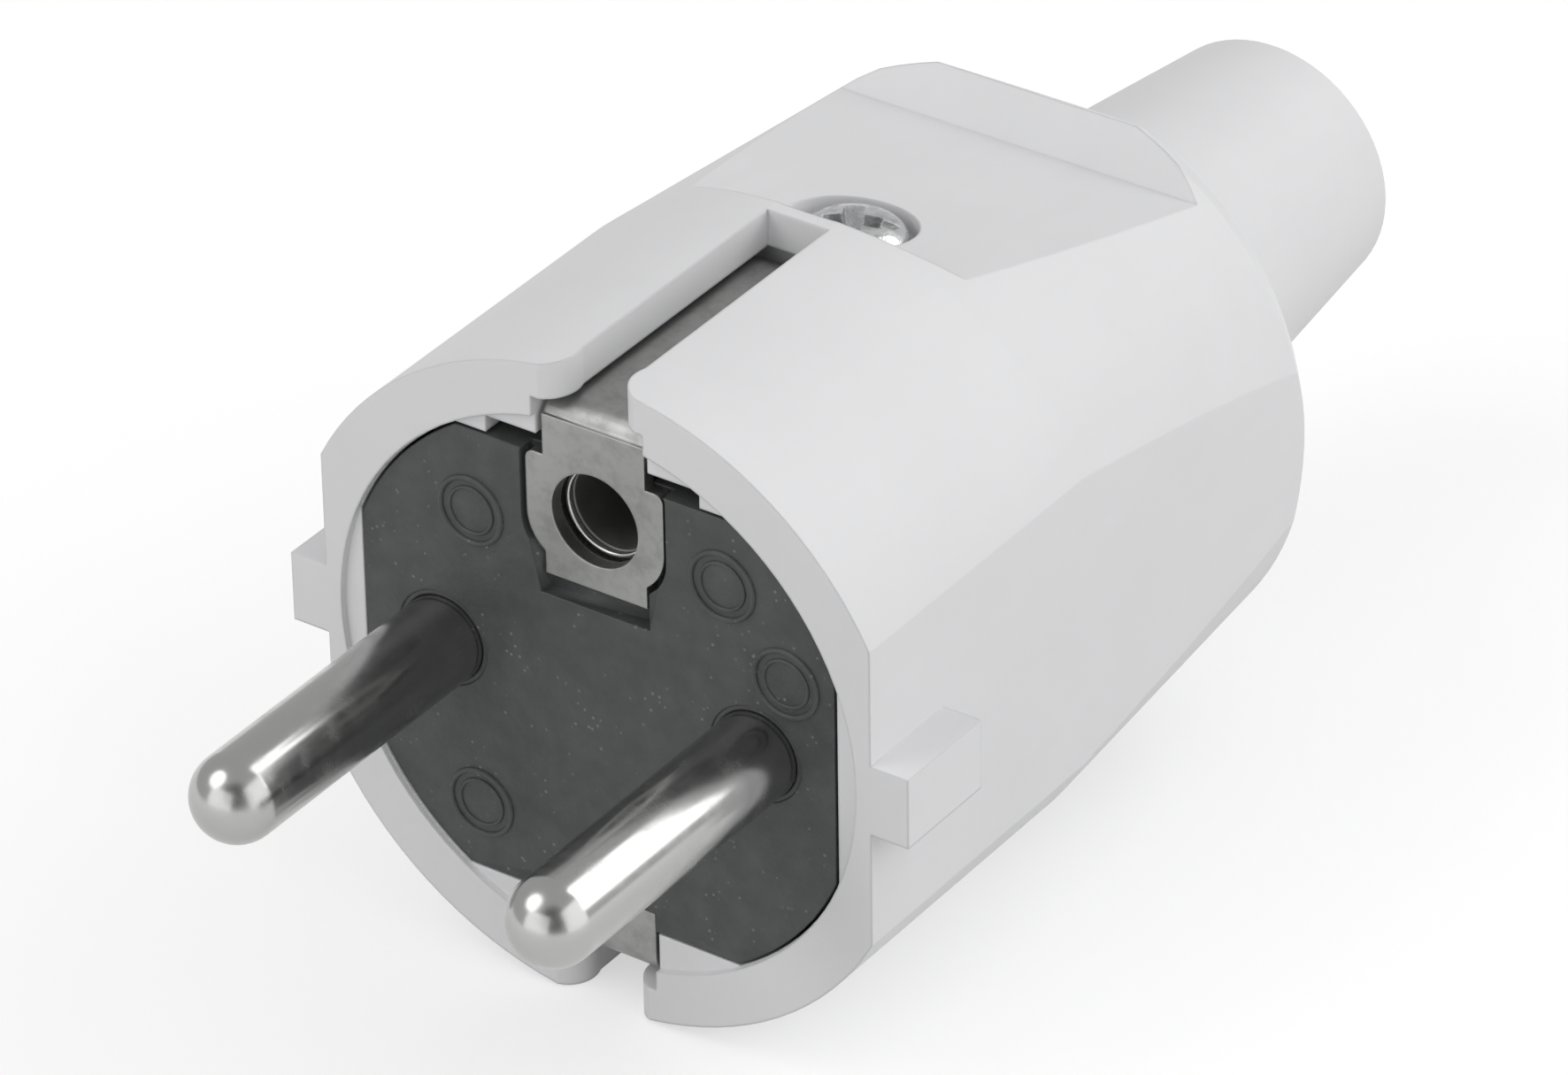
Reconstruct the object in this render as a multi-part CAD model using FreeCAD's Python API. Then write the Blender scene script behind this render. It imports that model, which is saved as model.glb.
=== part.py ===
import FreeCAD, Part
import math
import os

# Straight earthed mains plug with two round pins, taken apart into its real pieces.
# Lengths are millimetres. X runs to the right seen from the pins, Y runs from the
# rim to the cord inlet, and Z is up. The origin is the centre of the rim's front plane.

Vec = FreeCAD.Vector
AXIS_X = Vec(1, 0, 0)
AXIS_Y = Vec(0, 1, 0)
AXIS_Z = Vec(0, 0, 1)

# Clearances
slide_gap = 0.15          # carrier in housing, strip in channel
turned_gap = 0.05         # turned piece in its own hole
thread_gap = 0.05         # crest of a screw to the wall of its threaded hole
beyond = 5.0              # how far a cutting tool runs out of the material
overshoot = 1.0           # the same where other material is near
same_place = 0.01         # two places closer than this are one

# Pins
pin_spacing = 19.0
pin_diameter = 4.8
pin_reach = 19.0          # rim plane to pin tip
pin_seat_radius = 2.65    # thicker length that the plate holds
pin_seat_inset = 0.1      # plate's front to the start of that length
terminal_half = 3.1       # half width of the square drilled head behind the plate
terminal_length = 11.0
wire_bore_radius = 1.6
wire_bore_depth = 7.5
screw_hole_inset = 1.6    # blind end of the wire bore to the edge of its screw's hole

# Housing, outside
rim_radius = 18.6
barrel_draft_start = 19.0  # straight up to here, drafted from here to the dome
barrel_draft_deg = 4.3
dome_radius = 20.25       # ball that rounds off the rear of the barrel
dome_centre_y = 28.2
neck_end_radius = 7.4
neck_draft_deg = 6.0
housing_length = 63.5
neck_chamfer = 0.6
side_flat = 16.5          # half width over the side flats
panel_front = 19.0        # middle of the sunk panel's bowed front wall
panel_bow = 1.7           # how far the wall's ends lie behind its middle
panel_bow_half_width = 8.2
panel_bow_turn_deg = 60.0  # turn of the bow from its middle to the plan's sides
panel_rear = 38.0
panel_height = 16.8       # height of the sunk panel at the middle of its front wall
panel_draft_deg = 10.8
crest_y = 39.9            # top of the ramp behind the panel
crest_height = 14.7
roof_draft_deg = 26.6     # fall of the roof behind the crest
rib_height = 4.0
rib_length = 6.4
rib_reach = 18.7

# Housing, inside
rim_recess = 0.35
rim_recess_radius = 15.62
cavity_front_depth = 7.0
cavity_mid_half_width = 13.3
cavity_mid_end = 28.0
cavity_rear_half_width = 11.2
cavity_rear_half_height = 10.3
cavity_corner = 3.0       # chamfer along the room's corners behind the pocket
cavity_end = 41.0
inlet_radius = 5.2

# Earth strip and its slots
strip_half_width = 3.05
strip_thick = 0.8
strip_outer = 16.1        # axis to the outer face of the strip
strip_bend = 1.5
web_bend = 2.2
web_rear = 18.9
slot_half_width = 1.85
slot_mouth_half_width = 2.85
slot_flare_length = 2.4
slot_flare_hollow = 0.25  # how far the flare's middle bows inwards, of its own length
slot_end = 18.2
land_height = 18.5        # level land behind each slot, on which the plug can stand
roof_gap = 0.3            # strip to the underside of the slot's lips
channel_side_gap = 0.3
groove_half_width = 6.4
groove_depth = 0.95

# Earth lug on the front
lug_front = 0.45
lug_lobe_half_width = 4.12
lug_lobe_top = 12.93
lug_lobe_bottom = 7.35
lug_foot = 6.1
lobe_round = 0.5
lobe_sweep = 2.15         # height over which a lobe's lower end sweeps in to the neck
earth_hole_height = 10.1
earth_hole_radius = 2.6
lower_flange_top = -12.1

# Earth socket sleeve
sleeve_outer_radius = 3.0
sleeve_bore_radius = 2.35
sleeve_length = 15.6
sleeve_flange_radius = 3.7
sleeve_flange_thick = 0.5
sleeve_slit = 0.6
sleeve_slit_start = 4.0

# Contact carrier
carrier_radius = 15.4
carrier_flat_x = 14.2
carrier_flat_z = 13.0
plate_front = 0.3
plate_thick = 5.2
lug_recess_gap = 0.25
lug_recess_foot = 4.95
boss_wall = 1.1
tower_wall_z = 4.4
tower_inner = 5.9
floor_half_width = 10.2
floor_bottom = -8.0
floor_thick = 2.0
tail_end = 40.6
web_to_arch = 0.5
arch_half_width = 6.2
arch_length = 7.0
arch_top_gap = 0.2
tunnel_half_width = 4.3
tunnel_top = 5.4
clamp_start = 33.2
clamp_length = 6.4
clamp_split = -1.0
cord_groove_radius = 3.4
clamp_screw_x = 7.4
clamp_top = 4.6
saddle_round = 1.2

# Housing screw and its nut
screw_y = 22.9
screw_head_radius = 2.9
screw_head_height = 1.7
screw_crown = 0.75        # height of the bevel round the head's top
screw_shank_radius = 1.7
screw_recess_radius = 3.45
screw_seat = 14.3
screw_tip = 5.8
nut_size = 5.6
nut_thick = 2.2
nut_bottom = 8.0

# Terminal screws and clamp screws
small_shank_radius = 1.4  # headless terminal screws
screw_proud = 0.6         # how far a terminal screw stands out of its terminal
screw_tip_height = 0.1    # screw's tip above the middle of the wire bore
screw_window_half = 2.0   # half width of the floor's window under the earth terminal's screw
clamp_head_radius = 2.6
clamp_head_height = 1.9
clamp_shank_radius = 1.35
clamp_screw_length = 9.0
driver_slot = 0.8
driver_depth = 0.9
cross_width = 0.75
cross_reach = 1.6
cross_depth = 1.2

# Earth terminal
earth_block_half_width = 2.9
earth_block_height = 6.0
earth_block_length = 6.8
earth_block_z = 0.4
earth_block_wall = 1.2    # wall at the blind end of its wire bore
tenon_half = 2.2          # half width of the square tenon through the web
tenon_proud = 0.3         # how far the tenon stands out behind the web

# Places worked out from the sizes above
pin_x = pin_spacing / 2
pin_radius = pin_diameter / 2
plate_rear = plate_front + plate_thick
terminal_rear = plate_rear + terminal_length
terminal_screw_y = terminal_rear - wire_bore_depth + small_shank_radius + screw_hole_inset
lug_rear = lug_front + strip_thick
strip_inner = strip_outer - strip_thick
web_front = web_rear - strip_thick
channel_roof = strip_outer + roof_gap
channel_half_width = strip_half_width + channel_side_gap
channel_end = web_rear + roof_gap
cavity_flat_z = carrier_flat_z + slide_gap
arch_start = web_rear + web_to_arch
earth_screw_y = web_front - earth_block_length / 2


def box(x_low, x_high, y_low, y_high, z_low, z_high):
    corner = Vec(x_low, y_low, z_low)
    return Part.makeBox(x_high - x_low, y_high - y_low, z_high - z_low, corner)


def cylinder_y(radius, y_low, y_high, x=0.0, z=0.0):
    return Part.makeCylinder(radius, y_high - y_low, Vec(x, y_low, z), AXIS_Y)


def cylinder_z(radius, z_low, z_high, x=0.0, y=0.0):
    return Part.makeCylinder(radius, z_high - z_low, Vec(x, y, z_low), AXIS_Z)


def line(start, end):
    return Part.LineSegment(start, end).toShape()


def arc(start, middle, end):
    return Part.Arc(start, middle, end).toShape()


def polygon_face(points):
    return Part.Face(Part.makePolygon(points + [points[0]]))


def revolved_y(points, x=0.0, z=0.0):
    """Solid of revolution about an axis along Y, from (y, radius) points."""
    corners = [Vec(x + radius, y, z) for y, radius in points]
    return polygon_face(corners).revolve(Vec(x, 0, z), AXIS_Y, 360)


def mirrored_x(shape):
    return shape.mirror(Vec(0, 0, 0), AXIS_X)


def mirrored_z(shape):
    return shape.mirror(Vec(0, 0, 0), AXIS_Z)


def fused(shapes):
    return shapes[0].fuse(shapes[1:]).removeSplitter()


def flatted_wire(radius, half_width, half_height, y):
    """Circle cut by two side flats and two level flats, drawn in the plane at y."""
    side_z = math.sqrt(radius ** 2 - half_width ** 2)
    top_x = math.sqrt(radius ** 2 - half_height ** 2)
    middle = radius / math.sqrt(2)
    edges = []
    for sx, sz in ((1, 1), (-1, 1), (-1, -1), (1, -1)):
        side = Vec(sx * half_width, y, sz * side_z)
        top = Vec(sx * top_x, y, sz * half_height)
        bulge = Vec(sx * middle, y, sz * middle)
        if sx * sz > 0:
            edges.append(arc(side, bulge, top))
            edges.append(line(top, Vec(-top.x, y, top.z)))
        else:
            edges.append(arc(top, bulge, side))
            edges.append(line(side, Vec(side.x, y, -side.z)))
    return Part.Wire(edges)


def flatted_prism(radius, half_width, half_height, y_low, y_high):
    face = Part.Face(flatted_wire(radius, half_width, half_height, y_low))
    return face.extrude(Vec(0, y_high - y_low, 0))


def chamfered_corners(half_width, half_height, y):
    """Corners of a rectangle chamfered as the housing's room is, in the plane at y."""
    low_x = half_width - cavity_corner
    low_z = half_height - cavity_corner
    return [
        Vec(half_width, y, low_z),
        Vec(low_x, y, half_height),
        Vec(-low_x, y, half_height),
        Vec(-half_width, y, low_z),
        Vec(-half_width, y, -low_z),
        Vec(-low_x, y, -half_height),
        Vec(low_x, y, -half_height),
        Vec(half_width, y, -low_z),
    ]


def solid_between(front, rear):
    """Flat-sided solid between two outlines whose sides are parallel one by one."""
    sides = []
    for index, corner in enumerate(front):
        sides.append(polygon_face([front[index - 1], corner, rear[index], rear[index - 1]]))
    return Part.Solid(Part.Shell([polygon_face(front), polygon_face(rear)] + sides))


def edges_near(shape, test):
    """Edges of the shape whose centre passes the test."""
    return [edge for edge in shape.Edges if test(edge.CenterOfMass)]


# Housing

def dome_crossing(start, draft_deg):
    """Where a wall drafted inwards from the start point runs out on the dome."""
    slope = math.tan(math.radians(draft_deg))
    ahead = start.y - dome_centre_y
    half_linear = ahead - start.x * slope
    square = 1 + slope ** 2
    constant = ahead ** 2 + start.x ** 2 - dome_radius ** 2
    run = (math.sqrt(half_linear ** 2 - square * constant) - half_linear) / square
    return Vec(start.x - run * slope, start.y + run, 0)


def dome_middle(start, end):
    """Point of the dome's outline halfway between two others."""
    turn_start = math.atan2(start.x, start.y - dome_centre_y)
    turn_end = math.atan2(end.x, end.y - dome_centre_y)
    turn = (turn_start + turn_end) / 2
    return Vec(dome_radius * math.sin(turn), dome_centre_y + dome_radius * math.cos(turn), 0)


def housing_envelope():
    """Barrel, domed shoulder and neck as one turned outline."""
    rim = Vec(rim_radius, 0, 0)
    barrel = Vec(rim_radius, barrel_draft_start, 0)
    shoulder = dome_crossing(barrel, barrel_draft_deg)
    lip = Vec(neck_end_radius, housing_length - neck_chamfer, 0)
    root = dome_crossing(lip, neck_draft_deg)
    lip_end = Vec(neck_end_radius - neck_chamfer, housing_length, 0)
    edges = [
        line(Vec(0, 0, 0), rim),
        line(rim, barrel),
        line(barrel, shoulder),
        arc(shoulder, dome_middle(shoulder, root), root),
        line(root, lip),
        line(lip, lip_end),
        line(lip_end, Vec(0, housing_length, 0)),
        line(Vec(0, housing_length, 0), Vec(0, 0, 0)),
    ]
    return Part.Face(Part.Wire(edges)).revolve(Vec(0, 0, 0), AXIS_Y, 360)


def panel_height_at(y):
    return panel_height - (y - panel_front) * math.tan(math.radians(panel_draft_deg))


def side_flat_tool():
    """What lies outside the right side flat."""
    far = rim_radius + beyond
    rear = dome_centre_y + dome_radius
    return box(side_flat, far, -beyond, rear, -far, far)


def panel_plan():
    """The panel seen from above, with its bowed front wall, as a tall prism."""
    bow_radius = (panel_bow_half_width ** 2 + panel_bow ** 2) / (2 * panel_bow)
    turn = math.radians(panel_bow_turn_deg)
    half = bow_radius * math.sin(turn)
    side_y = panel_front + bow_radius * (1 - math.cos(turn))
    rear = dome_centre_y + dome_radius
    left = Vec(-half, side_y, 0)
    right = Vec(half, side_y, 0)
    wire = Part.Wire([
        arc(left, Vec(0, panel_front, 0), right),
        line(right, Vec(half, rear, 0)),
        line(Vec(half, rear, 0), Vec(-half, rear, 0)),
        line(Vec(-half, rear, 0), left),
    ])
    return Part.Face(wire).extrude(Vec(0, 0, rim_radius + beyond))


def panel_tool():
    """What lies above the sunk panel, the ramp behind it and the falling rear roof."""
    far = rim_radius + beyond
    rear = dome_centre_y + dome_radius
    roof_end = crest_height - (rear - crest_y) * math.tan(math.radians(roof_draft_deg))
    points = [
        Vec(-far, panel_front, far),
        Vec(-far, panel_front, panel_height),
        Vec(-far, panel_rear, panel_height_at(panel_rear)),
        Vec(-far, crest_y, crest_height),
        Vec(-far, rear, roof_end),
        Vec(-far, rear, far),
    ]
    profile = polygon_face(points).extrude(Vec(2 * far, 0, 0))
    return profile.common(panel_plan())


def land_tool():
    """What lies above the level land between a slot's end and the sunk panel."""
    half = slot_mouth_half_width
    return box(-half, half, slot_end, panel_front + panel_bow, land_height, rim_radius + beyond)


def side_rib():
    half = rib_height / 2
    return box(cavity_mid_half_width, rib_reach, 0, rib_length, -half, half)


def slot_tool():
    """Earth slot with its flared mouth, from the strip's channel outwards."""
    top = rim_radius + beyond
    bend = slot_flare_hollow
    flare = slot_mouth_half_width - slot_half_width
    outside = Vec(slot_mouth_half_width, -beyond, channel_roof)
    mouth = Vec(slot_mouth_half_width, 0, channel_roof)
    hollow = Vec(slot_half_width + flare * bend, slot_flare_length * bend, channel_roof)
    throat = Vec(slot_half_width, slot_flare_length, channel_roof)
    end = Vec(slot_half_width, slot_end, channel_roof)
    right = [line(outside, mouth), arc(mouth, hollow, throat), line(throat, end)]
    left = [mirrored_x(edge) for edge in right]
    rear = line(Vec(-end.x, end.y, end.z), end)
    front = line(Vec(-outside.x, outside.y, outside.z), outside)
    wire = Part.Wire(Part.__sortEdges__(right + left + [rear, front]))
    return Part.Face(wire).extrude(Vec(0, 0, top - channel_roof))


def channel_tool():
    """Room for the earth strip behind the slot's lips, and the wider guide groove."""
    channel = box(-channel_half_width, channel_half_width, -beyond, channel_end, 0, channel_roof)
    groove_top = cavity_flat_z + groove_depth
    groove = box(-groove_half_width, groove_half_width, -beyond, channel_end, 0, groove_top)
    return [channel, groove]


def cavity_tools():
    """Pocket for the carrier, the room behind it and the bore of the cord inlet."""
    pocket_radius = carrier_radius + slide_gap
    pocket = flatted_prism(
        pocket_radius, carrier_flat_x + slide_gap, cavity_flat_z, -beyond, cavity_front_depth
    )
    recess = cylinder_y(rim_recess_radius, -beyond, rim_recess)
    middle = chamfered_corners(cavity_mid_half_width, cavity_flat_z, cavity_mid_end)
    rear = chamfered_corners(cavity_rear_half_width, cavity_rear_half_height, cavity_end)
    room = polygon_face(middle).extrude(Vec(0, cavity_front_depth - cavity_mid_end, 0))
    taper = solid_between(middle, rear)
    bore = cylinder_y(inlet_radius, cavity_end - overshoot, housing_length + beyond)
    return [pocket, recess, room, taper, bore]


def screw_tools():
    recess = cylinder_z(screw_recess_radius, screw_seat, rim_radius, 0, screw_y)
    hole = cylinder_z(screw_shank_radius + slide_gap, 0, screw_seat, 0, screw_y)
    return [recess, hole]


def make_housing():
    body = housing_envelope()
    flat = side_flat_tool()
    panel = panel_tool()
    body = body.cut([flat, mirrored_x(flat), panel, mirrored_z(panel)])
    rib = side_rib()
    body = fused([body, rib, mirrored_x(rib)])
    slot = slot_tool()
    land = land_tool()
    channels = channel_tool()
    tools = cavity_tools() + screw_tools() + [slot, mirrored_z(slot), land, mirrored_z(land)]
    tools += channels + [mirrored_z(channels[0])]
    return body.cut(tools).removeSplitter()


# Contact carrier

def lug_outline(gap, foot):
    """Face of the lug seen from the front, drawn at the plane y = 0, larger by the gap."""
    neck = strip_half_width + gap
    lobe = lug_lobe_half_width + gap
    low = lug_lobe_bottom - gap
    high = lug_lobe_top + gap
    shoulder = Vec(lobe - lobe_round, 0, high)
    side_top = Vec(lobe, 0, high - lobe_round)
    side_low = Vec(lobe, 0, low + lobe_sweep)
    corner = lobe_round * (1 - math.sqrt(0.5))
    width = lobe - neck
    sweep_radius = (width ** 2 + lobe_sweep ** 2) / (2 * width)
    half_turn = math.asin(lobe_sweep / sweep_radius) / 2
    sweep_mid = Vec(
        lobe - sweep_radius * (1 - math.cos(half_turn)), 0,
        side_low.z - sweep_radius * math.sin(half_turn),
    )
    right = [
        line(Vec(neck, 0, strip_inner), Vec(neck, 0, high)),
        line(Vec(neck, 0, high), shoulder),
        arc(shoulder, Vec(lobe - corner, 0, high - corner), side_top),
        line(side_top, side_low),
        arc(side_low, sweep_mid, Vec(neck, 0, low)),
        line(Vec(neck, 0, low), Vec(neck, 0, foot)),
    ]
    left = [mirrored_x(edge) for edge in right]
    across = [
        line(Vec(-neck, 0, strip_inner), Vec(neck, 0, strip_inner)),
        line(Vec(-neck, 0, foot), Vec(neck, 0, foot)),
    ]
    return Part.Face(Part.Wire(Part.__sortEdges__(right + left + across)))


def carrier_plate():
    """Front plate with the lug's recess and the holes for pins and sleeve."""
    plate = flatted_prism(carrier_radius, carrier_flat_x, carrier_flat_z, plate_front, plate_rear)
    recess_depth = lug_rear + turned_gap
    recess = lug_outline(lug_recess_gap, lug_recess_foot).extrude(Vec(0, recess_depth, 0))
    return plate.cut(recess)


def strip_spine():
    """Ridge that backs the earth strip inside its channel."""
    half = slot_half_width + slide_gap
    front = lug_front + strip_bend + slide_gap
    rear = web_rear - web_bend - slide_gap
    foot = carrier_flat_z - boss_wall
    return box(-half, half, front, rear, foot, strip_inner - slide_gap)


def pin_tower(x):
    """Block behind the plate that holds one pin's terminal head."""
    outer = cavity_mid_half_width - slide_gap
    inner = tower_inner
    side = 1 if x > 0 else -1
    low = min(side * outer, side * inner)
    high = max(side * outer, side * inner)
    return box(low, high, plate_rear, terminal_rear, floor_bottom, tower_wall_z)


def pin_tower_tools(x):
    """The pin's hole in the plate and the open trough for its terminal head."""
    hole = cylinder_y(pin_seat_radius + turned_gap, -beyond, plate_rear + beyond, x)
    half = terminal_half + turned_gap
    trough = box(x - half, x + half, plate_rear, terminal_rear + beyond, -half, tower_wall_z + beyond)
    return [hole, trough]


def screw_arch():
    """Arch across the tail that takes the housing screw, with a tunnel for the wires."""
    top = cavity_flat_z - arch_top_gap
    arch = box(-arch_half_width, arch_half_width, arch_start, arch_start + arch_length, floor_bottom, top)
    tunnel = box(
        -tunnel_half_width, tunnel_half_width, arch_start - overshoot, arch_start + arch_length + overshoot,
        floor_bottom + floor_thick, tunnel_top,
    )
    shank = cylinder_z(screw_shank_radius + slide_gap, tunnel_top - overshoot, top + overshoot, 0, screw_y)
    half = nut_size / 2 + slide_gap
    pocket = box(
        -half, half, screw_y - half, arch_start + arch_length + overshoot,
        nut_bottom - turned_gap, nut_bottom + nut_thick + turned_gap,
    )
    return arch.cut([tunnel, shank, pocket])


def cord_groove():
    """Round groove for the cord between the clamp's base and its saddle."""
    rear = clamp_start + clamp_length + overshoot
    return cylinder_y(cord_groove_radius, clamp_start - overshoot, rear, 0, clamp_split)


def clamp_base():
    block = box(
        -floor_half_width, floor_half_width, clamp_start, clamp_start + clamp_length,
        floor_bottom, clamp_split,
    )
    tools = [cord_groove()]
    for x in (-clamp_screw_x, clamp_screw_x):
        tools.append(cylinder_z(
            clamp_shank_radius + thread_gap, floor_bottom + overshoot, clamp_split + overshoot,
            x, clamp_start + clamp_length / 2,
        ))
    return block.cut(tools)


def make_contact_carrier():
    boss_half = sleeve_outer_radius + turned_gap + boss_wall
    boss = box(
        -boss_half, boss_half, plate_rear, web_front - slide_gap,
        earth_hole_height - boss_half, cavity_flat_z + groove_depth - slide_gap,
    )
    floor = box(
        -floor_half_width, floor_half_width, plate_rear, tail_end,
        floor_bottom, floor_bottom + floor_thick,
    )
    spine = strip_spine()
    pieces = [
        carrier_plate(), boss, floor, spine, mirrored_z(spine),
        pin_tower(pin_x), pin_tower(-pin_x), screw_arch(), clamp_base(),
    ]
    carrier = fused(pieces)
    tools = pin_tower_tools(pin_x) + pin_tower_tools(-pin_x)
    tools.append(cylinder_y(sleeve_outer_radius + turned_gap, -beyond, web_front, 0, earth_hole_height))
    tools.append(cylinder_y(
        sleeve_flange_radius + slide_gap, 0, lug_rear + sleeve_flange_thick + turned_gap,
        0, earth_hole_height,
    ))
    web_room = strip_half_width + slide_gap
    tools.append(box(
        -web_room, web_room, web_front - slide_gap, web_rear + slide_gap,
        floor_bottom - overshoot, carrier_flat_z,
    ))
    window = screw_window_half
    tools.append(box(
        -window, window, earth_screw_y - window, earth_screw_y + window,
        floor_bottom - overshoot, floor_bottom + floor_thick + overshoot,
    ))
    lower_room = box(
        -web_room, web_room, -beyond, lug_rear + slide_gap, -carrier_radius, lower_flange_top + slide_gap,
    )
    tools.append(lower_room)
    return carrier.cut(tools).removeSplitter()


# Pins and sleeve

def make_pin(x):
    """Pin: round tip, length held by the plate, square drilled terminal head behind it."""
    tip_centre = -pin_reach + pin_radius
    tip = Part.makeSphere(pin_radius, Vec(x, tip_centre, 0))
    seat_start = plate_front + pin_seat_inset
    body = revolved_y([
        (tip_centre, 0),
        (tip_centre, pin_radius),
        (seat_start, pin_radius),
        (seat_start, pin_seat_radius),
        (plate_rear, pin_seat_radius),
        (plate_rear, 0),
    ], x)
    half = terminal_half
    head = box(x - half, x + half, plate_rear, terminal_rear, -half, half)
    wire_bore = cylinder_y(wire_bore_radius, terminal_rear - wire_bore_depth, terminal_rear + overshoot, x)
    screw_hole = cylinder_z(
        small_shank_radius + thread_gap, 0, terminal_half + overshoot, x, terminal_screw_y
    )
    return fused([body, tip, head]).cut([wire_bore, screw_hole])


def make_earth_socket_sleeve():
    """Flanged spring sleeve, slit from its rear end on both sides."""
    start = lug_rear
    end = start + sleeve_length
    sleeve = revolved_y([
        (start, sleeve_bore_radius),
        (start, sleeve_flange_radius),
        (start + sleeve_flange_thick, sleeve_flange_radius),
        (start + sleeve_flange_thick, sleeve_outer_radius),
        (end, sleeve_outer_radius),
        (end, sleeve_bore_radius),
    ], 0, earth_hole_height)
    half = sleeve_slit / 2
    reach = sleeve_outer_radius + overshoot
    slit = box(
        -reach, reach, start + sleeve_slit_start, end + overshoot,
        earth_hole_height - half, earth_hole_height + half,
    )
    return sleeve.cut(slit)


# Earth bracket and terminal

def corner_edges(block, y, reach):
    """The two edges across the block at y, at its top and its bottom."""
    return edges_near(
        block, lambda c: abs(c.y - y) < same_place and abs(abs(c.z) - reach) < same_place
    )


def bent_loop(front, rear, reach, half_width, front_bend, rear_bend):
    """Solid block with rounded front and rear corners, seen from the side."""
    block = box(-half_width, half_width, front, rear, -reach, reach)
    block = block.makeFillet(front_bend, corner_edges(block, front, reach))
    return block.makeFillet(rear_bend, corner_edges(block, rear, reach))


def make_earth_bracket():
    """One folded strip: front lug, upper strip, rear web, lower strip, lower flange."""
    outer = bent_loop(lug_front, web_rear, strip_outer, strip_half_width, strip_bend, web_bend)
    inner = bent_loop(
        lug_rear, web_front, strip_inner, strip_half_width + overshoot,
        strip_bend - strip_thick, web_bend - strip_thick,
    )
    strip = outer.cut(inner)
    across = strip_half_width + overshoot
    mouth = box(-across, across, lug_front - overshoot, lug_rear + overshoot, lower_flange_top, lug_foot)
    strip = strip.cut(mouth)
    lug = lug_outline(0, lug_foot).extrude(Vec(0, strip_thick, 0))
    lug.translate(Vec(0, lug_front, 0))
    strip = strip.fuse(lug).removeSplitter()
    hole = cylinder_y(
        earth_hole_radius, lug_front - overshoot, lug_rear + overshoot, 0, earth_hole_height
    )
    half = tenon_half + turned_gap
    tenon_hole = box(
        -half, half, web_front - overshoot, web_rear + overshoot,
        earth_block_z - half, earth_block_z + half,
    )
    return strip.cut([hole, tenon_hole])


def make_earth_terminal():
    """Drilled block with a square tenon through the bracket's web."""
    half_height = earth_block_height / 2
    block = box(
        -earth_block_half_width, earth_block_half_width, web_front - earth_block_length, web_front,
        earth_block_z - half_height, earth_block_z + half_height,
    )
    tenon = box(
        -tenon_half, tenon_half, web_front - overshoot, web_rear + tenon_proud,
        earth_block_z - tenon_half, earth_block_z + tenon_half,
    )
    body = fused([block, tenon])
    blind_end = web_front - earth_block_length + earth_block_wall
    bore = cylinder_y(wire_bore_radius, blind_end, web_rear + beyond, 0, earth_block_z)
    screw_hole = cylinder_z(
        small_shank_radius + thread_gap, earth_block_z - half_height - overshoot, earth_block_z,
        0, earth_screw_y,
    )
    return body.cut([bore, screw_hole])


# Screws, nut and clamp

def driver_slot_tool(reach, top):
    """Slot for a screwdriver across a screw's end at the height given."""
    half = driver_slot / 2
    return box(-reach, reach, -half, half, top - driver_depth, top + overshoot)


def headless_screw(length):
    """Set screw with its tip at z = 0 and a driver slot in its upper end."""
    screw = cylinder_z(small_shank_radius, 0, length)
    return screw.cut(driver_slot_tool(small_shank_radius + overshoot, length))


def make_terminal_screw(x):
    screw = headless_screw(terminal_half + screw_proud - screw_tip_height)
    screw.translate(Vec(x, terminal_screw_y, screw_tip_height))
    return screw


def make_earth_terminal_screw():
    screw = headless_screw(earth_block_height / 2 + screw_proud - screw_tip_height)
    screw.rotate(Vec(0, 0, 0), AXIS_X, 180)
    screw.translate(Vec(0, earth_screw_y, earth_block_z - screw_tip_height))
    return screw


def make_clamp_screw(x):
    """Cheese-head screw that holds the saddle down on the clamp's base."""
    top = clamp_top + clamp_head_height
    head = cylinder_z(clamp_head_radius, clamp_top, top)
    shank = cylinder_z(clamp_shank_radius, clamp_top - clamp_screw_length, clamp_top)
    screw = fused([head, shank]).cut(driver_slot_tool(clamp_head_radius + overshoot, top))
    screw.translate(Vec(x, clamp_start + clamp_length / 2, 0))
    return screw


def make_housing_screw():
    """Bevelled pan-head screw with a cross recess crossed by a driver slot."""
    top = screw_seat + screw_head_height
    head = cylinder_z(screw_head_radius, screw_seat, top, 0, screw_y)
    crown = edges_near(head, lambda c: abs(c.z - top) < same_place)
    head = head.makeChamfer(screw_crown, crown)
    shank = cylinder_z(screw_shank_radius, screw_tip, screw_seat, 0, screw_y)
    half = cross_width / 2
    floor = top - cross_depth
    clear = top + overshoot
    reach = screw_head_radius + overshoot
    across = box(-cross_reach, cross_reach, screw_y - half, screw_y + half, floor, clear)
    along = box(-half, half, screw_y - reach, screw_y + reach, floor, clear)
    return fused([head, shank]).cut([across, along])


def make_housing_nut():
    half = nut_size / 2
    block = box(-half, half, screw_y - half, screw_y + half, nut_bottom, nut_bottom + nut_thick)
    hole = cylinder_z(
        screw_shank_radius + thread_gap, nut_bottom - overshoot,
        nut_bottom + nut_thick + overshoot, 0, screw_y,
    )
    return block.cut(hole)


def make_cord_clamp_saddle():
    """Bridge with a half-round groove, held on the clamp base by two screws."""
    block = box(
        -floor_half_width, floor_half_width, clamp_start, clamp_start + clamp_length,
        clamp_split, clamp_top,
    )
    crown = edges_near(
        block,
        lambda c: abs(c.z - clamp_top) < same_place and abs(abs(c.x) - floor_half_width) < same_place,
    )
    block = block.makeFillet(saddle_round, crown)
    tools = [cord_groove()]
    for x in (-clamp_screw_x, clamp_screw_x):
        tools.append(cylinder_z(
            clamp_shank_radius + slide_gap, clamp_split - overshoot, clamp_top + overshoot,
            x, clamp_start + clamp_length / 2,
        ))
    return block.cut(tools)


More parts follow.
